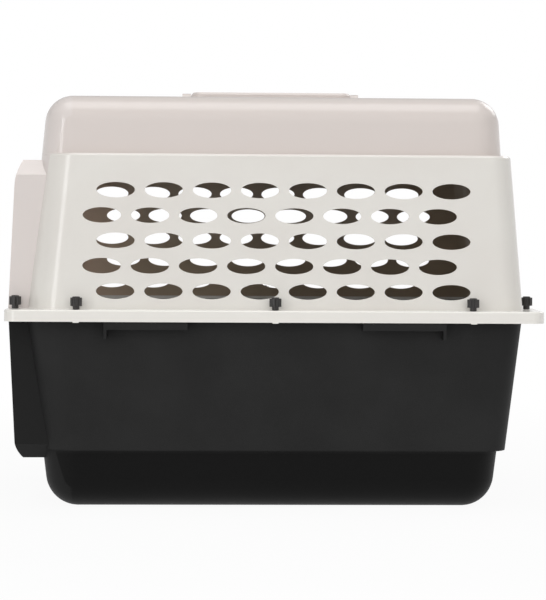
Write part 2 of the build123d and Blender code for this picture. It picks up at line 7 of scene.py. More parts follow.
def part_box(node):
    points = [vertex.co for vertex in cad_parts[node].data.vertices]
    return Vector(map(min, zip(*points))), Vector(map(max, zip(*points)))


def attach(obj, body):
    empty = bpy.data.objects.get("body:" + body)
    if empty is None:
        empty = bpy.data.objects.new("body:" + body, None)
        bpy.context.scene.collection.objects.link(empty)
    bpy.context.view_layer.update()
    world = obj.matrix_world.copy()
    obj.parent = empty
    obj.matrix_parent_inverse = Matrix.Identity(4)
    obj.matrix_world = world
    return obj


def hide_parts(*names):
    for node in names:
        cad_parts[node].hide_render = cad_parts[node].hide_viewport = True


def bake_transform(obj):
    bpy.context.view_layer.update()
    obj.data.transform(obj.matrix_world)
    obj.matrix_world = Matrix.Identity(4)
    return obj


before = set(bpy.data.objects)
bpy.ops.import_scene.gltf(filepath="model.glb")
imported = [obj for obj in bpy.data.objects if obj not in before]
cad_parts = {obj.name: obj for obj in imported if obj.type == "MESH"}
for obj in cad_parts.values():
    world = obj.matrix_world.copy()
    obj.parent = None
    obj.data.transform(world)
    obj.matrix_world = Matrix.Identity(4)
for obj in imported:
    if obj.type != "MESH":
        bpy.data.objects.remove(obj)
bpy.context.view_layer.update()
print("frame loaded")


class Flow:
    # wraps one socket, so that shader maths is written as an expression
    def __init__(self, graph, socket):
        self.graph = graph
        self.socket = socket

    def maths(self, operation, first, second):
        return self.graph.add("ShaderNodeMath", {"operation": operation}, {0: first, 1: second})

    def __add__(self, other):
        return self.maths("ADD", self, other)

    def __radd__(self, other):
        return self.maths("ADD", other, self)

    def __sub__(self, other):
        return self.maths("SUBTRACT", self, other)

    def __mul__(self, other):
        return self.maths("MULTIPLY", self, other)

    def __rmul__(self, other):
        return self.maths("MULTIPLY", other, self)


class Graph:
    # builds a node tree, one node to a call
    def __init__(self, tree):
        self.tree = tree
        tree.nodes.clear()

    def add(self, kind, settings=None, inputs=None, output=0):
        node = self.tree.nodes.new(kind)
        for key, value in (settings or {}).items():
            setattr(node, key, value)
        for key, value in (inputs or {}).items():
            if isinstance(value, Flow):
                self.tree.links.new(value.socket, node.inputs[key])
            else:
                node.inputs[key].default_value = value
        return Flow(self, node.outputs[output] if node.outputs else None)

    def noise(self, place, scale, detail=3, roughness=0.5):
        sizes = {"Vector": place, "Scale": scale, "Detail": detail, "Roughness": roughness}
        return self.add("ShaderNodeTexNoise", {}, sizes)

    def ramp(self, value, low, high):
        limits = {"Value": value, "From Min": low, "From Max": high}
        return self.add("ShaderNodeMapRange", {"clamp": True}, limits)

    def split(self, vector):
        separated = self.add("ShaderNodeSeparateXYZ", {}, {0: vector}).socket.node
        return [Flow(self, output) for output in separated.outputs]

    def vectorMaths(self, operation, first, second, output=0):
        return self.add("ShaderNodeVectorMath", {"operation": operation}, {0: first, 1: second}, output)

    def blend(self, amount, first, second):
        mixed = {0: amount, 6: first, 7: second}
        return self.add("ShaderNodeMix", {"data_type": "RGBA"}, mixed, output=2)


def linear(red, green, blue):
    # a colour read as 0-255 becomes scene values
    values = []
    for part in (red, green, blue):
        share = part / 255
        values.append(share / 12.92 if share <= 0.04045 else ((share + 0.055) / 1.055) ** 2.4)
    return (*values, 1)


def startMaterial(name):
    material = bpy.data.materials.new(name)
    material.use_nodes = True
    return material, Graph(material.node_tree)


# Moulded plastic: mottled colour, a fine grain, and rubbed patches that are a little smoother
moulding = {
    "cloudLow": 0.35,
    "cloudHigh": 0.65,
    "edge": 0.0005,
    "turnInside": 0.004,
    "scuffStretch": (9, 9, 150),
    "scuffScale": 6,
    "rubbedLow": 0.6,
    "rubbedHigh": 0.78,
    "mottleRough": 0.10,
    "grainRough": 0.06,
    "rubbedSmooth": 0.08,
    "bumpDistance": 0.001,
}


def makePlastic(name, look):
    material, graph = startMaterial(name)
    edge = moulding["edge"]
    place = graph.add("ShaderNodeTexCoord", output=3)
    along, across, height = graph.split(place)
    aside = graph.add("ShaderNodeMath", {"operation": "ABSOLUTE"}, {0: across})
    mottle = graph.noise(place, look["mottleScale"], 4)
    cloud = graph.ramp(mottle, moulding["cloudLow"], moulding["cloudHigh"])
    colour = graph.blend(cloud, linear(*look["colour"]), linear(*look["mottleColour"]))
    if "shadedBandColour" in look:
        # painted shade: past one height the colour turns darker, for the shade on the roof above the ledge
        # and on the tub's underside
        shadeBand = graph.ramp(height, look["shadedBandLow"], look["shadedBandHigh"])
        colour = graph.blend(shadeBand, colour, linear(*look["shadedBandColour"]))
    if "litRimColour" in look:
        # painted light: below the rim's top the skirt is coloured lighter, for the light it catches
        litRim = graph.ramp(height, look["rimTop"] + 2 * edge, look["rimTop"])
        colour = graph.blend(litRim, colour, linear(*look["litRimColour"]))
    if "shadedFrameColour" in look:
        # painted shade: the door frame's faces are coloured darker, and pinker on the top shell, for the
        # shade along the frame and in the corner beside it
        frameShade = graph.ramp(aside, look["frameOuter"], look["frameSide"])
        frameShade = frameShade * graph.ramp(along, look["frameFade"], look["frameBack"])
        colour = graph.blend(frameShade, colour, linear(*look["shadedFrameColour"]))
    if "insideShadeColour" in look:
        # painted shade: walls that face the middle of the cabin are coloured duller and warmer, for the
        # shade inside it
        facing = graph.add("ShaderNodeNewGeometry", output=1)
        outward = graph.vectorMaths("SUBTRACT", place, look["cabinMiddle"])
        away = graph.vectorMaths("DOT_PRODUCT", facing, outward, output=1)
        inside = graph.ramp(away, moulding["turnInside"], -moulding["turnInside"])
        inside = inside * graph.ramp(along, look["seatBack"] - 2 * edge, look["seatBack"])
        inside = inside * graph.ramp(along, look["cabinRear"] + edge, look["cabinRear"])
        inside = inside * graph.ramp(height, look["cabinTop"] + edge, look["cabinTop"])
        inside = inside * graph.ramp(height, look["cabinLow"], look["cabinLow"] + edge)
        inside = inside * graph.ramp(aside, look["cabinSide"] + edge, look["cabinSide"])
        # painted light: towards the doorway the inside walls are coloured brighter, for the light coming in
        # through the door
        doorwayLight = graph.ramp(along, look["seatBack"] + look["doorwayLightReach"], look["seatBack"])
        cabinShadeAndDoorLight = graph.blend(doorwayLight, linear(*look["insideShadeColour"]), linear(*look["doorwayLightColour"]))
        colour = graph.blend(inside, colour, cabinShadeAndDoorLight)
    grain = graph.noise(place, look["grainScale"], 2, 0.6)
    scuffs = graph.add("ShaderNodeMapping", {}, {"Vector": place, "Scale": moulding["scuffStretch"]})
    scuffs = graph.noise(scuffs, moulding["scuffScale"], 5)
    rubbed = graph.ramp(scuffs, moulding["rubbedLow"], moulding["rubbedHigh"])
    roughness = look["roughness"] + moulding["mottleRough"] * (mottle - 0.5)
    roughness = roughness + moulding["grainRough"] * grain - moulding["rubbedSmooth"] * rubbed
    relief = grain * look["grainHeight"] + graph.noise(place, look["waveScale"], 1) * look["waveHeight"]
    bump = {"Strength": 1.0, "Distance": moulding["bumpDistance"], "Height": relief}
    surface = {
        "Base Color": colour,
        "Roughness": roughness,
        "Normal": graph.add("ShaderNodeBump", {}, bump),
        "Specular IOR Level": look["specular"],
        "Coat Weight": look["coat"],
        "Coat Roughness": look["coatRoughness"],
    }
    shader = graph.add("ShaderNodeBsdfPrincipled", {}, surface)
    graph.add("ShaderNodeOutputMaterial", {}, {"Surface": shader})
    return material


# Plated steel: fine drawing marks and faint tarnish
plating = {
    "tarnishLow": 0.5,
    "tarnishHigh": 0.75,
    "drawnScale": 60,
    "drawnRough": 0.12,
    "tarnishRough": 0.15,
    "bumpStrength": 0.3,
    "bumpDistance": 0.0001,
}


def makeSteel(name, look):
    material, graph = startMaterial(name)
    place = graph.add("ShaderNodeTexCoord", output=3)
    tarnish = graph.noise(place, look["tarnishScale"], 5, 0.65)
    tarnish = graph.ramp(tarnish, plating["tarnishLow"], plating["tarnishHigh"])
    colour = graph.blend(tarnish, linear(*look["colour"]), linear(*look["tarnishColour"]))
    streaks = graph.add("ShaderNodeMapping", {}, {"Vector": place, "Scale": look["streakStretch"]})
    drawn = graph.noise(streaks, plating["drawnScale"], 2)
    roughness = look["roughness"] + plating["drawnRough"] * drawn + plating["tarnishRough"] * tarnish
    bump = {"Strength": plating["bumpStrength"], "Distance": plating["bumpDistance"], "Height": drawn}
    normal = graph.add("ShaderNodeBump", {}, bump)
    surface = {"Base Color": colour, "Metallic": 1.0, "Roughness": roughness, "Normal": normal}
    shader = graph.add("ShaderNodeBsdfPrincipled", {}, surface)
    graph.add("ShaderNodeOutputMaterial", {}, {"Surface": shader})
    return material


bonePlastic = makePlastic("bonePlastic", {
    "colour": (222, 219, 213),
    "mottleColour": (219, 215, 209),
    "mottleScale": 9,
    # painted shade: the roof above the ledge is coloured darker and pinker
    "shadedBandColour": (211, 202, 197),
    "shadedBandLow": 0.471,
    "shadedBandHigh": 0.4745,
    # painted light: the skirt below the rim is coloured lighter
    "litRimColour": (229, 226, 220),
    "rimTop": 0.268,
    # painted shade: the door frame is coloured darker and pinker
    "shadedFrameColour": (214, 206, 202),
    "frameSide": 0.2004,
    "frameOuter": 0.201,
    "frameBack": -0.272,
    "frameFade": -0.268,
    # painted shade inside the cabin, and painted light towards its doorway
    "insideShadeColour": (172, 154, 132),
    "doorwayLightColour": (226, 198, 176),
    "doorwayLightReach": 0.14,
    "cabinMiddle": (-0.01, 0, 0.40),
    "seatBack": -0.3155,
    "cabinRear": 0.331,
    "cabinTop": 0.5505,
    "cabinLow": 0.2692,
    "cabinSide": 0.234,
    "grainScale": 520,
    "grainHeight": 0.05,
    "waveScale": 26,
    "waveHeight": 0.25,
    "roughness": 0.34,
    "specular": 0.4,
    "coat": 0.6,
    "coatRoughness": 0.12,
})
charcoalPlastic = makePlastic("charcoalPlastic", {
    "colour": (38, 38, 38),
    "mottleColour": (34, 34, 34),
    "mottleScale": 12,
    # painted shade: the tub below about this height is coloured near black
    "shadedBandColour": (8, 8, 8),
    "shadedBandLow": 0.081,
    "shadedBandHigh": 0.074,
    # painted shade: the door frame and the corner beside it are coloured darker
    "shadedFrameColour": (28, 28, 28),
    "frameSide": 0.2004,
    "frameOuter": 0.201,
    "frameBack": -0.272,
    "frameFade": -0.268,
    "grainScale": 900,
    "grainHeight": 0.16,
    "waveScale": 30,
    "waveHeight": 0.2,
    "roughness": 0.52,
    "specular": 0.14,
    "coat": 0.0,
    "coatRoughness": 0.3,
})
nutPlastic = makePlastic("nutPlastic", {
    "colour": (46, 43, 42),
    "mottleColour": (38, 36, 35),
    "mottleScale": 60,
    "grainScale": 1400,
    "grainHeight": 0.08,
    "waveScale": 200,
    "waveHeight": 0.05,
    "roughness": 0.38,
    "specular": 0.5,
    "coat": 0.1,
    "coatRoughness": 0.25,
})
latchPlastic = makePlastic("latchPlastic", {
    "colour": (44, 44, 46),
    "mottleColour": (38, 38, 40),
    "mottleScale": 40,
    "grainScale": 1200,
    "grainHeight": 0.12,
    "waveScale": 90,
    "waveHeight": 0.05,
    "roughness": 0.42,
    "specular": 0.4,
    "coat": 0.0,
    "coatRoughness": 0.3,
})
doorSteel = makeSteel("doorSteel", {
    "colour": (205, 206, 210),
    "tarnishColour": (168, 166, 164),
    "tarnishScale": 18,
    "streakStretch": (8, 8, 1),
    "roughness": 0.16,
})
smallSteel = makeSteel("smallSteel", {
    "colour": (190, 190, 194),
    "tarnishColour": (140, 138, 136),
    "tarnishScale": 90,
    "streakStretch": (6, 6, 6),
    "roughness": 0.24,
})
print("materials made")


def deselectAll():
    if bpy.context.object and bpy.context.object.mode != "OBJECT":
        bpy.ops.object.mode_set(mode="OBJECT")
    bpy.ops.object.select_all(action="DESELECT")


def choose(piece):
    deselectAll()
    piece.hide_set(False)
    piece.select_set(True)
    bpy.context.view_layer.objects.active = piece


def runModifier(piece, kind, settings):
    choose(piece)
    modifier = piece.modifiers.new(kind.lower(), kind)
    for key, value in settings.items():
        setattr(modifier, key, value)
    bpy.ops.object.modifier_apply(modifier=modifier.name)


def smooth(piece, degrees):
    choose(piece)
    bpy.ops.object.shade_smooth_by_angle(angle=radians(degrees))


def settle(piece):
    # the piece's place goes into its mesh, and its object goes to the origin
    choose(piece)
    bpy.ops.object.transform_apply(location=True, rotation=True, scale=True)


def finish(piece, name, body, material, nodes):
    settle(piece)
    piece.name = name
    piece.data.name = name
    piece.data.materials.clear()
    piece.data.materials.append(material)
    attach(piece, body)
    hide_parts(*nodes)


def pickFaces(piece, wanted):
    # ends in edit mode, with only the wanted faces selected
    choose(piece)
    bpy.ops.object.mode_set(mode="EDIT")
    bpy.ops.mesh.select_mode(type="FACE")
    bpy.ops.mesh.select_all(action="DESELECT")
    bpy.ops.object.mode_set(mode="OBJECT")
    for face in piece.data.polygons:
        face.select = wanted(face)
    bpy.ops.object.mode_set(mode="EDIT")


def addCylinder(radius, depth, place, turn=(0, 0, 0), sides=32, scale=(1, 1, 1)):
    deselectAll()
    bpy.ops.mesh.primitive_cylinder_add(
        vertices=sides,
        radius=radius,
        depth=depth,
        location=place,
        rotation=turn,
    )
    piece = bpy.context.object
    piece.scale = scale
    settle(piece)
    return piece


def addBlock(size, place):
    deselectAll()
    bpy.ops.mesh.primitive_cube_add(size=1, location=place)
    piece = bpy.context.object
    piece.scale = size
    settle(piece)
    return piece


def joinAll(pieces):
    deselectAll()
    for piece in pieces:
        piece.select_set(True)
    bpy.context.view_layer.objects.active = pieces[0]
    bpy.ops.object.join()
    return pieces[0]


def carve(piece, tool, operation="DIFFERENCE"):
    runModifier(piece, "BOOLEAN", {"operation": operation, "object": tool, "solver": "EXACT"})
    bpy.data.objects.remove(tool)


def copyTo(piece, move, turn=0):
    twin = bpy.data.objects.new(piece.name + "Twin", piece.data.copy())
    bpy.context.scene.collection.objects.link(twin)
    twin.location = move
    twin.rotation_euler = (0, 0, radians(turn))
    settle(twin)
    return twin


# A moulding starts as the node's own shape, merged, then cut, with its flat triangles joined last
cleaning = {"mergeDistance": 0.000005, "flatDegrees": 0.6}


def takeShape(nodeName, cutter=None, repair=None):
    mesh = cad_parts[nodeName].data.copy()
    piece = bpy.data.objects.new(nodeName + "Shape", mesh)
    bpy.context.scene.collection.objects.link(piece)
    choose(piece)
    bpy.ops.mesh.customdata_custom_splitnormals_clear()
    bpy.ops.object.mode_set(mode="EDIT")
    bpy.ops.mesh.select_all(action="SELECT")
    bpy.ops.mesh.remove_doubles(threshold=cleaning["mergeDistance"])
    bpy.ops.object.mode_set(mode="OBJECT")
    if repair:
        repair(piece)
    if cutter:
        carve(piece, cutter)
    choose(piece)
    bpy.ops.object.mode_set(mode="EDIT")
    bpy.ops.mesh.select_all(action="SELECT")
    bpy.ops.mesh.dissolve_limited(angle_limit=radians(cleaning["flatDegrees"]))
    bpy.ops.object.mode_set(mode="OBJECT")
    return piece


# Rounds every sharp edge, then lets the flat faces keep their own shading
edges = {"mouldedDegrees": 28, "softDegrees": 20, "turnedDegrees": 35, "smoothDegrees": 40, "flatWeight": 60}


def roundEdges(piece, width, segments, sharpDegrees=edges["mouldedDegrees"]):
    rounding = {
        "width": width,
        "segments": segments,
        "limit_method": "ANGLE",
        "angle_limit": radians(sharpDegrees),
        "use_clamp_overlap": True,
        "miter_outer": "MITER_SHARP",
    }
    runModifier(piece, "BEVEL", rounding)
    smooth(piece, edges["smoothDegrees"])
    runModifier(piece, "WEIGHTED_NORMAL", {"keep_sharp": True, "weight": edges["flatWeight"]})


def middleOf(nodeName):
    low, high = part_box(nodeName)
    return [(first + last) / 2 for first, last in zip(low, high)]


# The side vents are cut anew as smooth ovals, eight to a row; the solids have seven, with few sides
vents = {
    "width": 0.0506,
    "height": 0.0204,
    "sides": 44,
    "topRow": 0.4256,
    "rowPitch": 0.0334,
    "rows": 5,
    "columns": 8,
    "columnPitch": 0.0635,
    "middle": 0.0025,
    "shift": 0.009,
    "sideWall": 0.23,
    "wallLow": 0.217,
    "wallHigh": 0.2355,
    "rowsLow": 0.275,
    "rowsHigh": 0.442,
    "reach": 0.24,
    "edgeOn": 0.2,
    "cutDepth": 0.12,
    "rearRows": 3,
    "rearColumns": 4,
    "rearTopRow": 0.4255,
    "rearRowPitch": 0.0335,
    "rearPitch": 0.064,
    "rearWall": 0.32,
    "rearCutDepth": 0.09,
}


def closeSideVents(piece):
    # without the vents' own edges, each hole in the wall's two faces is filled
    def inVent(face):
        place = face.center
        inWall = vents["wallLow"] < abs(place.y) < vents["wallHigh"]
        inRows = vents["rowsLow"] < place.z < vents["rowsHigh"]
        edgeOn = abs(face.normal.y) < vents["edgeOn"]
        return inWall and inRows and edgeOn and abs(place.x) < vents["reach"]

    pickFaces(piece, inVent)
    bpy.ops.mesh.delete(type="FACE")
    bpy.ops.mesh.select_all(action="SELECT")
    bpy.ops.mesh.fill_holes(sides=0)
    bpy.ops.object.mode_set(mode="OBJECT")


def addVentBar(depth, place, turn):
    ovalScale = (vents["width"], vents["height"], 1)
    return addCylinder(0.5, depth, place, turn, vents["sides"], ovalScale)


def makeVentCutter():
    bars = []
    for row in range(vents["rows"]):
        height = vents["topRow"] - row * vents["rowPitch"]
        shift = vents["shift"] if row % 2 == 0 else -vents["shift"]
        for column in range(vents["columns"]):
            along = vents["middle"] + shift + (column - (vents["columns"] - 1) / 2) * vents["columnPitch"]
            # the far side's rows run the other way
            for side in (-1, 1):
                place = (-side * along, side * vents["sideWall"], height)
                bars.append(addVentBar(vents["cutDepth"], place, (radians(90), 0, 0)))
    # the rear vents are rounded out in their own places
    for row in range(vents["rearRows"]):
        height = vents["rearTopRow"] - row * vents["rearRowPitch"]
        columns = vents["rearColumns"] - row % 2
        for column in range(columns):
            across = (column - (columns - 1) / 2) * vents["rearPitch"]
            place = (vents["rearWall"], across, height)
            bars.append(addVentBar(vents["rearCutDepth"], place, (radians(90), 0, radians(90))))
    return joinAll(bars)


shellRounding = 0.0008
topShell = takeShape("top_shell", makeVentCutter(), closeSideVents)
roundEdges(topShell, shellRounding, 2)
finish(topShell, "topShell", "kennel", bonePlastic, ["top_shell"])
bottomShell = takeShape("bottom_shell")
roundEdges(bottomShell, shellRounding, 2)
finish(bottomShell, "bottomShell", "kennel", charcoalPlastic, ["bottom_shell"])
print("shells done")

# Each thumb nut has lobes round a rounded hub, dished on top, on a narrow collar
thumbNut = {
    "headRadius": 0.0079,
    "headHeight": 0.0125,
    "shoulderDrop": 0.0016,
    "lobeRounding": 0.0011,
    "hubRadius": 0.0053,
    "hubRounding": 0.0013,
    "hubStart": 0.0004,
    "collarRadius": 0.0045,
    "collarHeight": 0.0045,
    "collarSink": 0.001,
    "boreRadius": 0.0031,
    "cap": 0.0035,
    "flutes": 6,
    "fluteRadius": 0.0024,
    "fluteOut": 0.0083,
    "dish": 0.0006,
    "dishBorder": 0.0013,
    "rounding": 0.0003,
    "turns": {
        "front_left": 22,
        "front_right": 5,
        "left_front": 38,
        "left_middle": 12,
        "left_rear": 50,
        "right_front": 17,
        "right_middle": 44,
        "right_rear": 31,
        "rear_left": 8,
        "rear_right": 27,
    },
}


def facesUp(face):
    return face.normal.z > 0.99


def makeThumbNut(base):
    lobeHeight = thumbNut["headHeight"] - thumbNut["shoulderDrop"]
    lobeMiddle = base + thumbNut["collarHeight"] + lobeHeight / 2
    head = addCylinder(thumbNut["headRadius"], lobeHeight, (0, 0, lobeMiddle), sides=60)
    flutes = []
    for number in range(thumbNut["flutes"]):
        turn = radians(360 / thumbNut["flutes"] * (number + 0.5))
        place = (thumbNut["fluteOut"] * cos(turn), thumbNut["fluteOut"] * sin(turn), lobeMiddle)
        flutes.append(addCylinder(thumbNut["fluteRadius"], 2 * lobeHeight, place, sides=20))
    carve(head, joinAll(flutes))
    roundEdges(head, thumbNut["lobeRounding"], 3, edges["turnedDegrees"])
    hubMiddle = base + thumbNut["collarHeight"] + thumbNut["headHeight"] / 2 + thumbNut["hubStart"] / 2
    hubDepth = thumbNut["headHeight"] - thumbNut["hubStart"]
    hub = addCylinder(thumbNut["hubRadius"], hubDepth, (0, 0, hubMiddle), sides=40)
    pickFaces(hub, facesUp)
    bpy.ops.mesh.bevel(offset=thumbNut["hubRounding"], segments=3, affect="EDGES")
    pickFaces(hub, facesUp)
    bpy.ops.mesh.inset(thickness=thumbNut["dishBorder"], depth=-thumbNut["dish"])
    bpy.ops.object.mode_set(mode="OBJECT")
    carve(head, hub, "UNION")
    collarDepth = thumbNut["collarHeight"] + thumbNut["collarSink"]
    collar = addCylinder(thumbNut["collarRadius"], collarDepth, (0, 0, base + collarDepth / 2), sides=36)
    carve(head, collar, "UNION")
    boreDepth = thumbNut["collarHeight"] + thumbNut["headHeight"] - thumbNut["cap"]
    carve(head, addCylinder(thumbNut["boreRadius"], 2 * boreDepth, (0, 0, base)))
    roundEdges(head, thumbNut["rounding"], 3, edges["turnedDegrees"])
    return head


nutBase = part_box("left_middle_thumb_nut")[0][2]
nutMaster = makeThumbNut(nutBase)
for place, turn in thumbNut["turns"].items():
    nodeName = place + "_thumb_nut"
    middle = middleOf(nodeName)
    nut = copyTo(nutMaster, (middle[0], middle[1], 0), turn)
    finish(nut, place + "ThumbNut", place + "_nut", nutPlastic, [nodeName])
bpy.data.objects.remove(nutMaster)
print("thumb nuts done")

# Small mouldings keep the node's shape and get rounded edges; the handle's are the softest
mouldings = {
    "flange_bolts": {"name": "flangeBolts", "body": "kennel", "slot": "fastener_plastic", "width": 0.0004},
    "carry_handle": {"name": "carryHandle", "body": "handle", "slot": "handle_plastic", "width": 0.0016},
    "latch_cover": {"name": "latchCover", "body": "door", "slot": "latch_plastic", "width": 0.0007},
    "latch_back_plate": {"name": "latchBackPlate", "body": "door", "slot": "latch_plastic", "width": 0.0006},
    "rod_guides": {"name": "rodGuides", "body": "door", "slot": "latch_plastic", "width": 0.0006},
}
mouldingFinish = {
    "fastener_plastic": nutPlastic,
    "handle_plastic": bonePlastic,
    "latch_plastic": latchPlastic,
}
for nodeName, look in mouldings.items():
    piece = takeShape(nodeName)
    sharpDegrees = edges["softDegrees"] if nodeName == "carry_handle" else edges["mouldedDegrees"]
    roundEdges(piece, look["width"], 3, sharpDegrees)
    finish(piece, look["name"], look["body"], mouldingFinish[look["slot"]], [nodeName])
print("handle and latch housing done")

# The finger tabs have grooves across them
fingerTab = {
    "grooves": 3,
    "groovePitch": 0.0016,
    "grooveRadius": 0.0005,
    "grooveLength": 0.03,
    "rounding": 0.0005,
}
rodTipRounding = 0.001
for side in ("upper", "lower"):
    nodeName = side + "_latch_slide"
    low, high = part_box(nodeName)
    middle = middleOf(nodeName)
    grooves = []
    grooveSize = (fingerTab["grooveRadius"], fingerTab["grooveLength"])
    for number in range(fingerTab["grooves"]):
        height = middle[2] + (number - (fingerTab["grooves"] - 1) / 2) * fingerTab["groovePitch"]
        place = (low[0], middle[1], height)
        grooves.append(addCylinder(*grooveSize, place, (radians(90), 0, 0), 12))
    slide = takeShape(nodeName, joinAll(grooves))
    roundEdges(slide, fingerTab["rounding"], 2, edges["turnedDegrees"])
    finish(slide, side + "LatchSlide", side + "_latch", latchPlastic, [nodeName])

    # its rod, with a rounded tip
    nodeName = side + "_latch_rod"
    low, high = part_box(nodeName)
    rod = addCylinder((high[0] - low[0]) / 2, high[2] - low[2], middleOf(nodeName), sides=28)
    roundEdges(rod, rodTipRounding, 3, edges["turnedDegrees"])
    finish(rod, side + "LatchRod", side + "_latch", doorSteel, [nodeName])
print("latch slides and rods done")

# The springs are wound wire, set between the door and their slides
coil = {"wireRadius": 0.0004, "wireSides": 10, "turns": 5, "steps": 20, "smoothDegrees": 60}
for side in ("upper", "lower"):
    nodeName = side + "_latch_spring"
    low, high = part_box(nodeName)
    middle = middleOf(nodeName)
    coilRadius = (high[0] - low[0]) / 2 - coil["wireRadius"]
    deselectAll()
    bpy.ops.mesh.primitive_circle_add(
        vertices=coil["wireSides"],
        radius=coil["wireRadius"],
        fill_type="NOTHING",
        location=(middle[0], middle[1], low[2] + coil["wireRadius"]),
    )
    spring = bpy.context.object
    bpy.ops.object.mode_set(mode="EDIT")
    bpy.ops.mesh.select_all(action="SELECT")
    bpy.ops.transform.rotate(value=radians(90), orient_axis="X", center_override=spring.location)
    bpy.ops.transform.translate(value=(coilRadius, 0, 0))
    winding = {
        "axis": "Z",
        "angle": radians(360),
        "screw_offset": (high[2] - low[2] - 2 * coil["wireRadius"]) / coil["turns"],
        "iterations": coil["turns"],
        "steps": coil["steps"],
        "render_steps": coil["steps"],
    }
    runModifier(spring, "SCREW", winding)
    bpy.ops.object.mode_set(mode="EDIT")
    bpy.ops.mesh.select_all(action="SELECT")
    bpy.ops.mesh.fill_holes(sides=0)
    bpy.ops.mesh.normals_make_consistent(inside=False)
    bpy.ops.object.mode_set(mode="OBJECT")
    smooth(spring, coil["smoothDegrees"])
    settle(spring)
    spring.name = side + "LatchSpring"
    spring.data.name = spring.name
    spring.data.materials.clear()
    spring.data.materials.append(smallSteel)
    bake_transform(spring)
    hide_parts(nodeName)
print("springs done")

# Four screws hold the back plate, each with a cross cut in its head
screw = {
    "headRadius": 0.003,
    "headHeight": 0.0016,
    "shankRadius": 0.0015,
    "shankSink": 0.0005,
    "recess": 0.0008,
    "blade": 0.0007,
    "bladeShare": 1.2,
    "rounding": 0.00025,
}


def makeScrew(low, high):
    headTurn = (0, radians(90), 0)
    headPlace = (high[0] - screw["headHeight"] / 2, 0, 0)
    head = addCylinder(screw["headRadius"], screw["headHeight"], headPlace, headTurn)
    shankLength = high[0] - low[0] - screw["headHeight"] + screw["shankSink"]
    shank = addCylinder(screw["shankRadius"], shankLength, (low[0] + shankLength / 2, 0, 0), headTurn, 20)
    carve(head, shank, "UNION")
    bladeLength = screw["bladeShare"] * screw["headRadius"]
    for size in ((bladeLength, screw["blade"]), (screw["blade"], bladeLength)):
        carve(head, addBlock((2 * screw["recess"], *size), (high[0], 0, 0)))
    roundEdges(head, screw["rounding"], 2, edges["turnedDegrees"])
    return head


low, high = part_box("latch_screws")
middle = middleOf("latch_screws")
screwMaster = makeScrew(low, high)
acrossReach = (high[1] - low[1]) / 2 - screw["headRadius"]
upReach = (high[2] - low[2]) / 2 - screw["headRadius"]
screws = []
for across in (-1, 1):
    for up in (-1, 1):
        screws.append(copyTo(screwMaster, (0, middle[1] + across * acrossReach, middle[2] + up * upReach)))
bpy.data.objects.remove(screwMaster)
finish(joinAll(screws), "latchScrews", "door", smallSteel, ["latch_screws"])
print("screws done")

# The door hangs on its hinge rod, which has a collar at each end
doorWires = {
    "bend": 0.025,
    "bendSteps": 10,
    "uprights": 13,
    "crossWires": 5,
    "collarRadius": 0.0045,
    "collarHeight": 0.002,
    "uprightRounding": 0.0004,
    "crossRounding": 0.0006,
    "mergeDistance": 0.00001,
    "smoothDegrees": 50,
}
rodLow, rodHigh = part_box("door_hinge_rod")
rodMiddle = middleOf("door_hinge_rod")
wireLow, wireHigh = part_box("door_frame_wire")
wireRadius = (wireHigh[0] - wireLow[0]) / 2
wireMiddle = middleOf("door_frame_wire")
hingeRod = addCylinder(wireRadius, rodHigh[2] - rodLow[2], rodMiddle, sides=28)
collarPlaces = (wireLow[2] - doorWires["collarHeight"] / 2, wireHigh[2] + doorWires["collarHeight"] / 2)
for height in collarPlaces:
    collarPlace = (rodMiddle[0], rodMiddle[1], height)
    collar = addCylinder(doorWires["collarRadius"], doorWires["collarHeight"], collarPlace, sides=32)
    carve(hingeRod, collar, "UNION")
roundEdges(hingeRod, doorWires["uprightRounding"], 2, edges["turnedDegrees"])
finish(hingeRod, "doorHingeRod", "door", doorSteel, ["door_hinge_rod"])

# One wire is bent round the door's top, free side and bottom
bend = doorWires["bend"]
freeSide = wireLow[1] + wireRadius
wireTop = wireHigh[2] - wireRadius
wireBottom = wireLow[2] + wireRadius
levelRun = wireHigh[1] - freeSide - bend
deselectAll()
bpy.ops.mesh.primitive_circle_add(
    vertices=20,
    radius=wireRadius,
    fill_type="NGON",
    location=(wireMiddle[0], wireHigh[1], wireTop),
    rotation=(radians(90), 0, 0),
)
frameWire = bpy.context.object
settle(frameWire)
bpy.ops.object.mode_set(mode="EDIT")
bpy.ops.mesh.select_all(action="SELECT")
bpy.ops.mesh.extrude_region_move(TRANSFORM_OT_translate={"value": (0, -levelRun, 0)})
topBend = (wireMiddle[0], freeSide + bend, wireTop - bend)
bpy.ops.mesh.spin(steps=doorWires["bendSteps"], angle=radians(90), center=topBend, axis=(-1, 0, 0))
bpy.ops.mesh.extrude_region_move(TRANSFORM_OT_translate={"value": (0, 0, wireBottom - wireTop + 2 * bend)})
lowBend = (wireMiddle[0], freeSide + bend, wireBottom + bend)
bpy.ops.mesh.spin(steps=doorWires["bendSteps"], angle=radians(90), center=lowBend, axis=(-1, 0, 0))
bpy.ops.mesh.extrude_region_move(TRANSFORM_OT_translate={"value": (0, levelRun, 0)})
bpy.ops.mesh.select_all(action="SELECT")
bpy.ops.mesh.remove_doubles(threshold=doorWires["mergeDistance"])
bpy.ops.mesh.normals_make_consistent(inside=False)
bpy.ops.object.mode_set(mode="OBJECT")
smooth(frameWire, doorWires["smoothDegrees"])
finish(frameWire, "doorFrameWire", "door", doorSteel, ["door_frame_wire"])

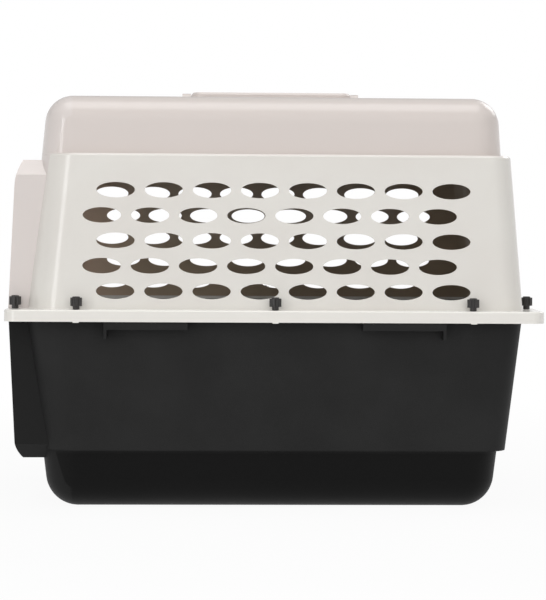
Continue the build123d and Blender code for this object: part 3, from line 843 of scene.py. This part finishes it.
# The uprights stand between the hinge rod and the free side, and the cross wires behind them
low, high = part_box("door_upright_wires")
middle = middleOf("door_upright_wires")
pitch = (rodMiddle[1] - freeSide) / (doorWires["uprights"] + 1)
upright = addCylinder((high[0] - low[0]) / 2, high[2] - low[2], (middle[0], freeSide, middle[2]), sides=18)
roundEdges(upright, doorWires["uprightRounding"], 2, edges["turnedDegrees"])
uprights = [copyTo(upright, (0, (number + 1) * pitch, 0)) for number in range(doorWires["uprights"])]
bpy.data.objects.remove(upright)
finish(joinAll(uprights), "doorUprightWires", "door", doorSteel, ["door_upright_wires"])

low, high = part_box("door_cross_wires")
middle = middleOf("door_cross_wires")
pitch = (wireTop - wireBottom) / (doorWires["crossWires"] + 1)
crossTurn = (radians(90), 0, 0)
crossPlace = (middle[0], middle[1], wireBottom)
crossWire = addCylinder((high[0] - low[0]) / 2, high[1] - low[1], crossPlace, crossTurn, 20)
roundEdges(crossWire, doorWires["crossRounding"], 2, edges["turnedDegrees"])
crossWires = [copyTo(crossWire, (0, 0, (number + 1) * pitch)) for number in range(doorWires["crossWires"])]
bpy.data.objects.remove(crossWire)
finish(joinAll(crossWires), "doorCrossWires", "door", doorSteel, ["door_cross_wires"])
print("door wires done")

stage = {
    "reach": 40.0,
    "drop": 0.0005,
    "paper": (0.72, 0.72, 0.72, 1),
    "whiteShare": 0.94,
    "whiteFrom": 0.7,
    "whiteTo": 1.6,
}


def splitRays(graph):
    # what the camera sees straight, and what it sees in reflections or through glass
    seen = graph.add("ShaderNodeLightPath", output=0)
    rays = seen.socket.node.outputs
    return seen, Flow(graph, rays["Is Glossy Ray"]) + Flow(graph, rays["Is Transmission Ray"])


def makePaper():
    # matt paper that reads as white to the eye and in reflections, and still takes a shadow
    material, graph = startMaterial("paper")
    seen, reflected = splitRays(graph)
    place = graph.add("ShaderNodeTexCoord", output=3)
    distance = graph.add("ShaderNodeVectorMath", {"operation": "LENGTH"}, {0: place}, output=1)
    whiter = graph.ramp(distance, stage["whiteFrom"], stage["whiteTo"]) * (1 - stage["whiteShare"])
    share = (seen + reflected) * (whiter + stage["whiteShare"])
    matt = graph.add("ShaderNodeBsdfDiffuse", {}, {"Color": stage["paper"]})
    white = graph.add("ShaderNodeEmission", {}, {"Color": (1, 1, 1, 1), "Strength": 1.0})
    mixed = graph.add("ShaderNodeMixShader", {}, {0: share, 1: matt, 2: white})
    graph.add("ShaderNodeOutputMaterial", {}, {"Surface": mixed})
    return material


deselectAll()
bpy.ops.mesh.primitive_plane_add(size=stage["reach"], location=(0, 0, -stage["drop"]))
floor = bpy.context.object
floor.name = "floor"
floor.data.materials.append(makePaper())

# Reflections show the white sweep low behind the kennel, and a dimmer room elsewhere
room = {"fill": 0.455, "sweepTop": 0.30, "sweepStart": 0.12, "sweepSide": -0.2, "sweepBack": 0.1}
world = bpy.data.worlds.new("studio")
bpy.context.scene.world = world
world.use_nodes = True
sky = Graph(world.node_tree)
seen, reflected = splitRays(sky)
direction = sky.split(sky.add("ShaderNodeTexCoord", output=0))
lowDown = sky.ramp(direction[2], room["sweepTop"], room["sweepStart"])
sweep = lowDown * sky.ramp(direction[1], room["sweepSide"], room["sweepBack"])
strength = room["fill"] + (seen + reflected * sweep) * (1 - room["fill"])
backdrop = sky.add("ShaderNodeBackground", {}, {"Color": (1, 1, 1, 1), "Strength": strength})
sky.add("ShaderNodeOutputWorld", {}, {"Surface": backdrop})

lamps = {
    "overheadSoftbox": {"place": (0.0, -0.6, 3.2), "aim": (0, -0.6, 0), "size": (3.0, 1.8), "watts": 34},
    "frontSoftbox": {"place": (0.3, -4.0, 1.6), "aim": (0, 0, 0.3), "size": (4.2, 2.6), "watts": 60},
    "sideStrip": {"place": (-2.5, -2.9, 0.8), "aim": (0, 0, 0.3), "size": (0.7, 1.8), "watts": 19},
    "rearSoftbox": {"place": (2.2, 2.2, 2.4), "aim": (0, 0, 0.3), "size": (1.6, 1.6), "watts": 22},
}
for name, lamp in lamps.items():
    deselectAll()
    bpy.ops.object.light_add(type="AREA", location=lamp["place"])
    light = bpy.context.object
    light.name = name
    light.data.shape = "RECTANGLE"
    light.data.size, light.data.size_y = lamp["size"]
    light.data.energy = lamp["watts"]
    # the roof, seen from behind, would mirror the front softbox as plain white
    light.visible_glossy = name != "frontSoftbox"
    aim = Vector(lamp["aim"]) - Vector(lamp["place"])
    light.rotation_euler = aim.to_track_quat("-Z", "Y").to_euler()

cameraSettings = {
    "place": (-0.103, -3.037, 0.389),
    "turn": 2.05,
    "dip": 2.2,
    "roll": 0.35,
    "lens": 127.58,
    "sensor": 36,
    "clipEnd": 200,
}
deselectAll()
bpy.ops.object.camera_add(location=cameraSettings["place"])
camera = bpy.context.object
camera.name = "sideCamera"
camera.data.lens = cameraSettings["lens"]
camera.data.sensor_width = cameraSettings["sensor"]
camera.data.clip_end = cameraSettings["clipEnd"]
aim = Euler((radians(90 - cameraSettings["dip"]), 0, radians(-cameraSettings["turn"]))).to_quaternion()
camera.rotation_euler = (aim @ Quaternion((0, 0, 1), radians(cameraSettings["roll"]))).to_euler()
bpy.context.scene.camera = camera
bpy.context.scene.view_settings.view_transform = "Standard"
print("stage done")
